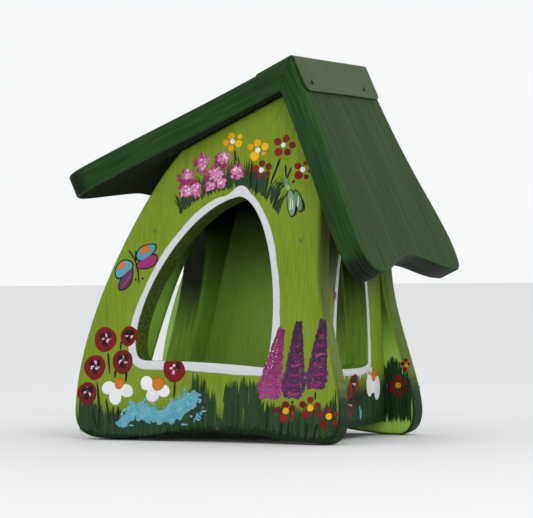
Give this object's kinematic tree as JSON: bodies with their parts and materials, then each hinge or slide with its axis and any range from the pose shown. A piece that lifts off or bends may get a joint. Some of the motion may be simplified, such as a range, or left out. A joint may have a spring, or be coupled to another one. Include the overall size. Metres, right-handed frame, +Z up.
{
  "type": "bird feeder house",
  "caption": "Crooked wooden bird feeder house with leaning gable panels, an arched front opening, arched side windows, a mitred board roof and a capped ridge.",
  "frame": {"origin": "middle of the bounding box in plan, on the surface that the feet stand on", "axes": "+Z up, -Y out of the front opening, +X to the viewer's right when facing the front"},
  "size_m": [0.2468, 0.1656, 0.2751],
  "materials": {
    "lime_painted_wood": "brushed lime green paint, darker green towards the feet, with painted flowers",
    "green_painted_wall": "brushed green paint, dark at the top and near the feet",
    "green_painted_roof": "thin dark green paint with the grain showing",
    "painted_strip": "thin bent strip under dull green paint",
    "nail_steel": "small steel nail heads, painted over"
  },
  "bodies": {
    "root": {"cap_nail_left_front": "nail_steel", "cap_nail_left_rear": "nail_steel", "cap_nail_right_front": "nail_steel", "cap_nail_right_rear": "nail_steel", "floor_panel": "green_painted_wall", "front_floor_nail_left": "nail_steel", "front_floor_nail_right": "nail_steel", "front_nail_left_lower": "nail_steel", "front_nail_left_upper": "nail_steel", "front_nail_right_lower": "nail_steel", "front_nail_right_upper": "nail_steel", "front_panel": "lime_painted_wood", "left_roof_board": "green_painted_roof", "left_side_panel": "green_painted_wall", "rear_floor_nail_left": "nail_steel", "rear_floor_nail_right": "nail_steel", "rear_nail_left_lower": "nail_steel", "rear_nail_left_upper": "nail_steel", "rear_nail_right_lower": "nail_steel", "rear_nail_right_upper": "nail_steel", "rear_panel": "lime_painted_wood", "ridge_cap": "painted_strip", "right_roof_board": "green_painted_roof", "right_side_panel": "green_painted_wall"}
  },
  "joints": []
}
